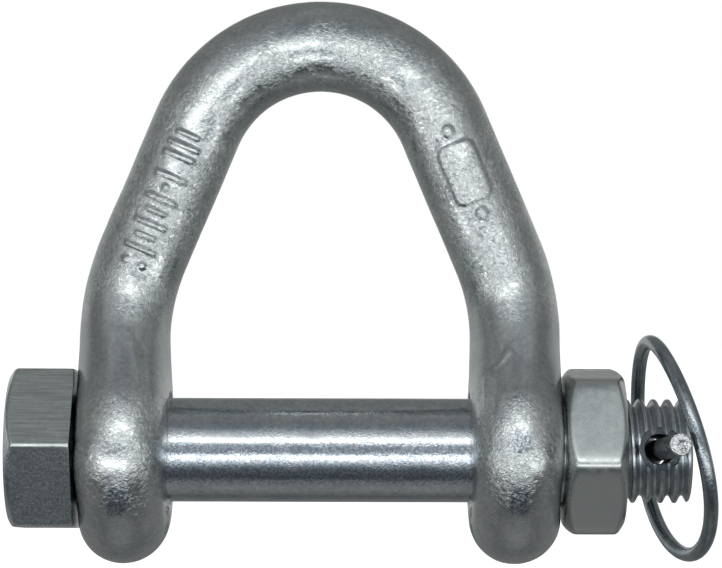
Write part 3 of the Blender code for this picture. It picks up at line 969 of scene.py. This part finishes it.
def pin_details(n, colour, rough, normal):
    """The cropped tip is dark and rough in its middle with a bright burred rim."""
    x, y, z = n.position()
    tip = pin_matrix() @ Vector((PIN_LO[1] / pull.y, 0, 0))
    dx = n.math("SUBTRACT", x, tip.x / MM)
    dz = n.math("SUBTRACT", z, tip.z / MM)
    from_axis = n.math("SQRT", n.math("ADD", n.product(dx, dx), n.product(dz, dz)))
    tip_y = tip.y / MM
    face = n.remap(y, tip_y + 0.45, tip_y + 0.6, 1, 0)
    core = n.product(face, n.remap(from_axis, 0.9, 1.35, 1, 0))
    chips = n.remap(n.noise(0.5, 3, 0.7, 0.5), 0.4, 0.6, 0, 1)
    colour = n.mix(core, colour, n.mix(chips, (0.12, 0.13, 0.14), (0.8, 0.82, 0.82)))
    shank = n.within(y, (tip_y + 0.6, tip_y + 1.2), (8, 9))
    colour = n.mix(n.product(shank, 0.6), colour, (0.22, 0.23, 0.24))
    return colour, rough, normal


def metal(name, light, dark, rough, grain, crinkle, skin, speckle=0.14, calm=None, details=None):
    """Zinc-coated steel: cloudy colour and roughness, a crinkled skin and fine pitting.

    grain is the skin's feature size in mm, crinkle and skin the strengths of its creases and pits.
    """
    n = Nodes(name)
    patches = n.noise(4.5, 3, 0.6, 0.4)
    mottle = n.noise(grain, 4, 0.65, 0.6)
    colour = n.mix(n.remap(patches, 0.35, 0.65, 0, 1), dark, light)
    colour = n.tinted(colour, n.remap(mottle, 0.3, 0.7, 1 - speckle, 1 + 0.5 * speckle))
    small = n.remap(mottle, 0.3, 0.7, 0.7 * rough, 1.4 * rough)
    large = n.remap(patches, 0.3, 0.7, -0.1 * rough, 0.2 * rough)
    roughness = n.math("ADD", small, large)
    # creases where the layered noise crosses its middle, stronger in some patches than in others
    crease = n.remap(n.distance(n.noise(grain, 3, 0.6, 0.9), 0.5), 0.0, 0.16, 0.0, 1.0)
    where = n.remap(n.noise(6.0, 2, 0.5), 0.40, 0.58, 0.3, 1.0)
    if calm:
        colour, roughness, where = calm(n, colour, roughness, where)
    normal = n.bump(n.product(crease, where), crinkle, 0.10 * MM)
    pits = n.noise(grain * 0.42, 2, 0.5, 0.6)
    normal = n.bump(n.product(pits, where), skin, 0.05 * MM, normal)
    if details:
        colour, roughness, normal = details(n, colour, roughness, normal)
    n.link(colour, n.bsdf.inputs["Base Color"])
    n.link(roughness, n.bsdf.inputs["Roughness"])
    n.link(normal, n.bsdf.inputs["Normal"])
    n.bsdf.inputs["Metallic"].default_value = 1.0
    return n.mat


def dress(obj, mat):
    obj.data.materials.clear()
    obj.data.materials.append(mat)


# ---------------------------------------------------------------- stage


def pale_floor(depth):
    """A wide pale disc below the shackle."""
    mesh = bpy.data.meshes.new("studio_floor")
    bm = bmesh.new()
    bmesh.ops.create_circle(bm, cap_ends=True, radius=6.0, segments=64)
    bm.to_mesh(mesh)
    bm.free()
    floor = bpy.data.objects.new("studio_floor", mesh)
    floor.location.z = depth
    mat = bpy.data.materials.new("pale_floor")
    mat.use_nodes = True
    bsdf = mat.node_tree.nodes["Principled BSDF"]
    bsdf.inputs["Base Color"].default_value = (0.9, 0.9, 0.9, 1)
    bsdf.inputs["Roughness"].default_value = 0.9
    bsdf.inputs["Specular IOR Level"].default_value = 0.0
    bsdf.inputs["Emission Color"].default_value = (1, 1, 1, 1)
    bsdf.inputs["Emission Strength"].default_value = 0.95
    mesh.materials.append(mat)
    return floor


def pale_backdrop():
    """A white dome round everything."""
    mesh = bpy.data.meshes.new("studio_backdrop")
    bm = bmesh.new()
    bmesh.ops.create_uvsphere(bm, u_segments=48, v_segments=24, radius=5.9)
    bmesh.ops.reverse_faces(bm, faces=bm.faces)
    bm.to_mesh(mesh)
    bm.free()
    mat = bpy.data.materials.new("pale_backdrop")
    mat.use_nodes = True
    tree = mat.node_tree
    tree.nodes.clear()
    out = tree.nodes.new("ShaderNodeOutputMaterial")
    glow = tree.nodes.new("ShaderNodeEmission")
    glow.inputs["Color"].default_value = (1, 1, 1, 1)
    glow.inputs["Strength"].default_value = 1.0
    tree.links.new(glow.outputs[0], out.inputs["Surface"])
    mesh.materials.append(mat)
    return bpy.data.objects.new("studio_backdrop", mesh)


def build_stage():
    # low enough for the linch pin and its ring to swing clear of it when the bolt is turned
    floor = pale_floor(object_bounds()[0][2] - 95 * MM)
    backdrop = pale_backdrop()
    # both are seen directly but neither lights nor shades the metal
    for obj in (floor, backdrop):
        bpy.context.scene.collection.objects.link(obj)
        obj.visible_glossy = False
        obj.visible_diffuse = False
        obj.visible_transmission = False
        obj.visible_shadow = False


def graph(tree):
    """Short functions that add and join shader nodes in a node tree."""
    def add(kind, **props):
        node = tree.nodes.new(kind)
        for key, value in props.items():
            setattr(node, key, value)
        return node

    def maths(op, *values):
        node = add("ShaderNodeMath", operation=op)
        for socket, value in zip(node.inputs, values):
            if hasattr(value, "is_output"):
                tree.links.new(value, socket)
            else:
                socket.default_value = value
        return node.outputs[0]

    def fall(value, start, end, first, last):
        """first where the value is start, last where it is end, eased between."""
        node = add("ShaderNodeMapRange", interpolation_type="SMOOTHSTEP")
        tree.links.new(value, node.inputs["Value"])
        for socket, number in zip(node.inputs[1:5], (start, end, first, last)):
            socket.default_value = number
        return node.outputs[0]

    def ramp(value, stops, top):
        """Levels up to top at the stops' positions of 0 to 1."""
        node = add("ShaderNodeValToRGB")
        tree.links.new(value, node.inputs[0])
        band = node.color_ramp
        while len(band.elements) < len(stops):
            band.elements.new(0.5)
        for element, (position, level) in zip(band.elements, stops):
            element.position = position
            element.color = (level / top, level / top, level / top, 1)
        return maths("MULTIPLY", node.outputs[0], top)

    return add, maths, fall, ramp


def band_levels(maths, fall, ramp, across, up, half_z):
    """Brightness of the light sheet from the distances across and up in mm."""
    # stops of (height in mm, brightness) for the long low band and the short high one
    low = [
        (-400, 0.10), (-280, 0.08), (-190, 0.12), (-145, 0.16), (-118, 0.32), (-98, 0.6), (-80, 1.0),
        (-63, 1.6), (-48, 2.6), (-34, 2.5), (-24, 1.1), (-14, 0.5), (0, 0.46), (400, 0.46),
    ]
    high = [
        (-400, 0.0), (24, 0.0), (42, 0.1), (54, 0.35), (64, 1.1), (76, 2.2), (90, 2.2), (103, 1.1),
        (122, 0.55), (146, 0.3), (172, 0.12), (205, -0.1), (240, -0.2), (400, -0.24),
    ]
    top, lift, ground, floor = 4, 0.3, 0.22, 0.05
    place = maths("ADD", maths("DIVIDE", up, 2 * half_z), 0.5)
    low = ramp(place, [(h / (2 * half_z) + 0.5, v) for h, v in low], top)
    # a ramp holds no negative level, so the high band is lifted in it and lowered again
    high = ramp(place, [(h / (2 * half_z) + 0.5, v + lift) for h, v in high], top)
    high = maths("SUBTRACT", high, lift)
    low = maths("MULTIPLY", maths("SUBTRACT", low, ground), fall(across, 170, 640, 1, 0.1))
    high = maths("MULTIPLY", high, fall(across, 70, 190, 1, 0))
    return maths("MAXIMUM", maths("ADD", maths("ADD", low, high), ground), floor)


def build_lights():
    """A sheet of light close in front with two bright level bands, a short high and a long low one."""
    half_x, half_z, distance = 700, 420, 190
    mesh = bpy.data.meshes.new("light_sheet")
    x, z = half_x * MM, half_z * MM
    mesh.from_pydata([(-x, 0, -z), (x, 0, -z), (x, 0, z), (-x, 0, z)], [], [(0, 1, 2, 3)])
    sheet = bpy.data.objects.new("light_sheet", mesh)
    sheet.location = (0, -distance * MM, 0)
    bpy.context.scene.collection.objects.link(sheet)
    mat = bpy.data.materials.new("light_bands")
    mat.use_nodes = True
    tree = mat.node_tree
    tree.nodes.clear()
    add, maths, fall, ramp = graph(tree)
    coord = add("ShaderNodeTexCoord")
    split = add("ShaderNodeSeparateXYZ")
    tree.links.new(coord.outputs["Object"], split.inputs[0])
    across = maths("DIVIDE", maths("ABSOLUTE", split.outputs[0]), MM)
    up = maths("DIVIDE", split.outputs[2], MM)
    total = band_levels(maths, fall, ramp, across, up, half_z)
    colour = add("ShaderNodeCombineColor")
    # the dim gap between the bands is bluish
    neutral = maths("MAXIMUM", fall(total, 0.3, 0.9, 0, 1), fall(across, 110, 260, 0, 1))
    for k, (in_gap, elsewhere) in enumerate(((0.91, 0.985), (1.0, 1.0), (1.08, 1.0))):
        tint = maths("ADD", maths("MULTIPLY", neutral, elsewhere - in_gap), in_gap)
        tree.links.new(maths("MULTIPLY", total, tint), colour.inputs[k])
    light = add("ShaderNodeEmission")
    tree.links.new(colour.outputs[0], light.inputs["Color"])
    out = add("ShaderNodeOutputMaterial")
    tree.links.new(light.outputs[0], out.inputs["Surface"])
    mesh.materials.append(mat)
    sheet.visible_camera = False
    sheet.visible_shadow = False


def build_world():
    """A dim grey room, darker below, round the sheet of light, with a pale level band at the back."""
    world = bpy.data.worlds.new("studio")
    bpy.context.scene.world = world
    world.use_nodes = True
    tree = world.node_tree
    tree.nodes.clear()
    add, maths, fall, ramp = graph(tree)
    coord = add("ShaderNodeTexCoord")
    split = add("ShaderNodeSeparateXYZ")
    tree.links.new(coord.outputs["Generated"], split.inputs[0])
    elevation = maths("ADD", maths("DIVIDE", maths("ARCSINE", split.outputs[2]), math.pi), 0.5)
    # stops of (elevation in degrees, brightness)
    stops = [(-90, 0.27), (-72, 0.2), (-58, 0.13), (-40, 0.18), (0, 0.22), (60, 0.22), (90, 0.28)]
    total = ramp(elevation, [(deg / 180 + 0.5, v) for deg, v in stops], 1)
    level = fall(maths("ABSOLUTE", maths("SUBTRACT", elevation, 0.53)), 0.03, 0.09, 0.3, 0)
    total = maths("ADD", total, maths("MULTIPLY", level, fall(split.outputs[1], 0.2, 0.6, 0, 1)))
    colour = add("ShaderNodeCombineColor")
    for k, tint in enumerate((0.985, 1.0, 1.0)):
        tree.links.new(maths("MULTIPLY", total, tint), colour.inputs[k])
    background = add("ShaderNodeBackground")
    tree.links.new(colour.outputs[0], background.inputs["Color"])
    out = add("ShaderNodeOutputWorld")
    tree.links.new(background.outputs[0], out.inputs["Surface"])


def build_camera():
    cam = bpy.data.cameras.new("camera")
    cam.lens = 140
    cam.sensor_width = 36
    obj = bpy.data.objects.new("camera", cam)
    bpy.context.scene.collection.objects.link(obj)
    obj.location = (7.47 * MM, -514.9 * MM, 30.46 * MM)
    obj.rotation_euler = (math.pi / 2, math.radians(-0.18), 0)
    cam.clip_start = 0.01
    cam.clip_end = 50
    bpy.context.scene.camera = obj


# ---------------------------------------------------------------- assembly

bow = build_bow()
bolt = build_bolt()
thread = build_thread()
nut = build_nut()
pin = build_pin()
ring = build_ring()

galvanised = metal(
    "galvanised_forging", light=(0.68, 0.71, 0.705), dark=(0.58, 0.62, 0.625), rough=0.1, grain=0.8,
    crinkle=0.55, skin=0.4, speckle=0.2, calm=bow_details,
)
bolt_skin = metal(
    "galvanised_bolt", light=(0.62, 0.65, 0.665), dark=(0.53, 0.58, 0.61), rough=0.07, grain=0.95,
    crinkle=0.08, skin=0.6, speckle=0.24, details=bolt_details,
)
nut_skin = metal(
    "galvanised_nut", light=(0.61, 0.64, 0.63), dark=(0.59, 0.62, 0.615), rough=0.26, grain=1.4,
    crinkle=0.02, skin=0.03, speckle=0.03,
)
pin_skin = metal(
    "plated_pin", light=(0.72, 0.74, 0.74), dark=(0.6, 0.62, 0.63), rough=0.16, grain=0.7,
    crinkle=0.4, skin=0.4, details=pin_details,
)
wire_skin = metal(
    "plated_wire", light=(0.45, 0.49, 0.51), dark=(0.30, 0.35, 0.38), rough=0.08, grain=1.0,
    crinkle=0.25, skin=0.3,
)

dress(bow, galvanised)
dress(bolt, bolt_skin)
dress(thread, bolt_skin)
dress(nut, nut_skin)
dress(pin, pin_skin)
dress(ring, wire_skin)

build_stage()
build_lights()
build_world()
build_camera()

bpy.context.scene.view_settings.view_transform = "Standard"
